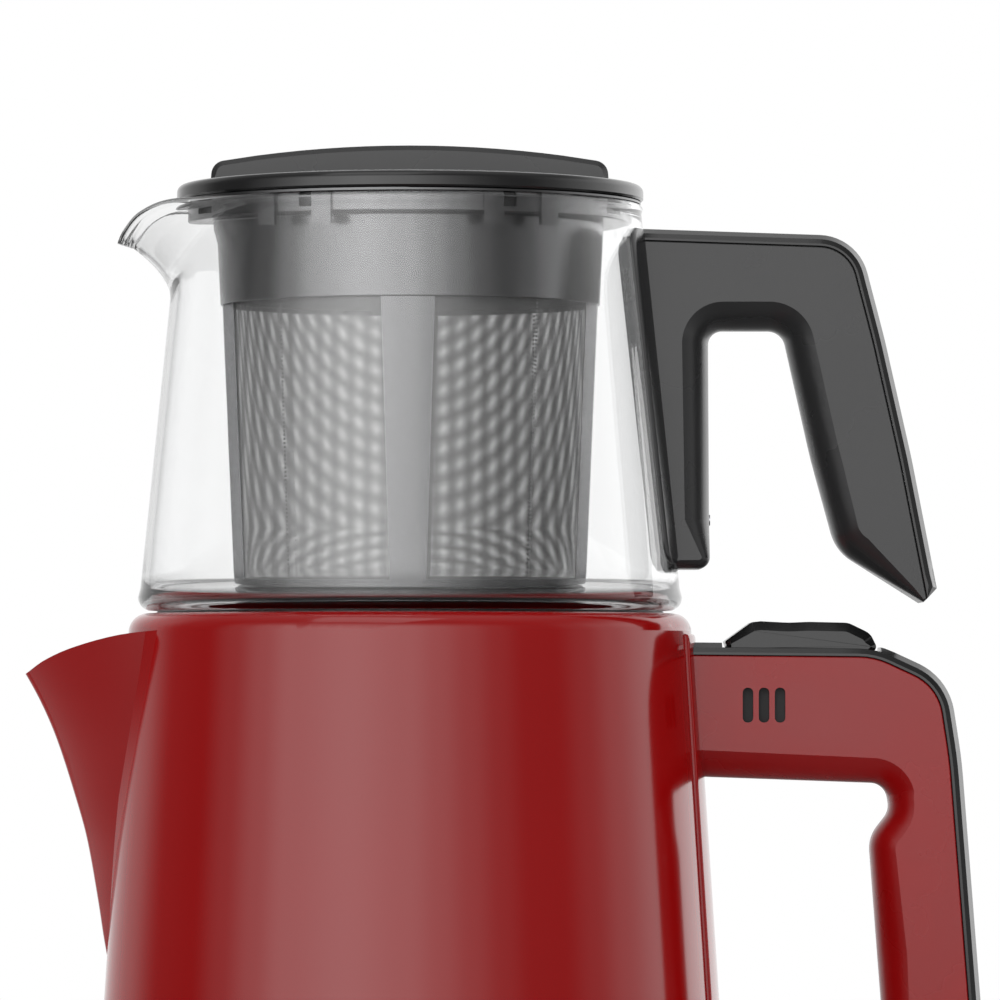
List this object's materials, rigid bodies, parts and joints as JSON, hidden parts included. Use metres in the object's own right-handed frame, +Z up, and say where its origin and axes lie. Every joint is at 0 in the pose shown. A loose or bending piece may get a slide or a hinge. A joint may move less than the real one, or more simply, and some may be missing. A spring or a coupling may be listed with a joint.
{
  "type": "automatic tea maker",
  "caption": "Two-tier automatic tea maker: red kettle with spout, grip and thumb rocker on a power base, glass teapot with lid and strainer on top.",
  "frame": {"origin": "on the kettle's axis, on the table under the foot ring", "axes": "+Z up, spouts towards -X, handles towards +X, +Y to the back where the cord inlet is"},
  "size_m": [0.2464, 0.176, 0.2957],
  "materials": {
    "red_paint": "gloss",
    "red_plastic": "satin",
    "black_satin": "satin",
    "black_texture": "fine texture",
    "black_inner": "plain",
    "glass": "clear",
    "strainer_plastic": "satin",
    "gauze": "woven",
    "steel": "brushed",
    "screw_steel": "plated",
    "aluminium": "plain",
    "brass": "plain",
    "silicone": "soft",
    "foot_rubber": "soft",
    "white_ceramic": "plain",
    "wire_sleeve": "plain"
  },
  "bodies": {
    "base": {"foot_ring": "foot_rubber", "base_bottom": "black_texture", "base_cover": "black_satin", "base_screws": "screw_steel", "base_socket": "black_inner", "socket_contacts": "brass", "terminal_block": "white_ceramic", "cord_inlet": "black_inner"},
    "turntable": {"slip_ring": "black_inner"},
    "kettle": {"kettle_foot": "black_satin", "foot_screws": "screw_steel", "kettle_connector": "black_inner", "thermostat": "white_ceramic", "heating_element": "steel", "heat_plate": "aluminium", "kettle_floor": "steel", "kettle_body": "red_paint", "kettle_spout": "red_paint", "spout_filter": "steel", "kettle_collar": "black_satin", "collar_seal": "silicone", "duct_panel": "red_paint", "wire_duct": "steel", "handle_wires": "wire_sleeve", "handle_bracket": "steel", "handle_shell_front": "red_plastic", "handle_shell_rear": "red_plastic", "handle_strip": "black_satin", "handle_screws": "screw_steel", "steam_switch": "black_inner", "rocker_pin": "steel"},
    "rocker": {"rocker": "black_satin"},
    "teapot": {"teapot_glass": "glass", "teapot_saddle": "black_texture", "teapot_handle": "black_texture", "teapot_handle_cover": "black_satin", "teapot_handle_screws": "screw_steel"},
    "strainer": {"strainer_frame": "strainer_plastic", "strainer_mesh": "gauze", "strainer_floor_mesh": "gauze"},
    "lid": {"lid_cover": "black_texture", "lid_inner": "black_inner", "lid_gasket": "silicone"}
  },
  "joints": [
    {"name": "kettle_swivel", "type": "hinge", "parent": "base", "child": "turntable", "pos_m": [0, 0, 0.026], "axis": [0, 0, 1], "continuous": true},
    {"name": "kettle_lift", "type": "slide", "parent": "turntable", "child": "kettle", "axis": [0, 0, 1], "range_m": [0, 0.05]},
    {"name": "rocker_tilt", "type": "hinge", "parent": "kettle", "child": "rocker", "pos_m": [0.0999, 0, 0.1632], "axis": [0, 1, 0], "range_deg": [-4, 4]},
    {"name": "teapot_lift", "type": "slide", "parent": "kettle", "child": "teapot", "axis": [0, 0, 1], "range_m": [0, 0.06]},
    {"name": "strainer_lift", "type": "slide", "parent": "teapot", "child": "strainer", "axis": [0, 0, 1], "range_m": [0, 0.115]},
    {"name": "lid_lift", "type": "slide", "parent": "strainer", "child": "lid", "axis": [0, 0, 1], "range_m": [0, 0.05]}
  ]
}
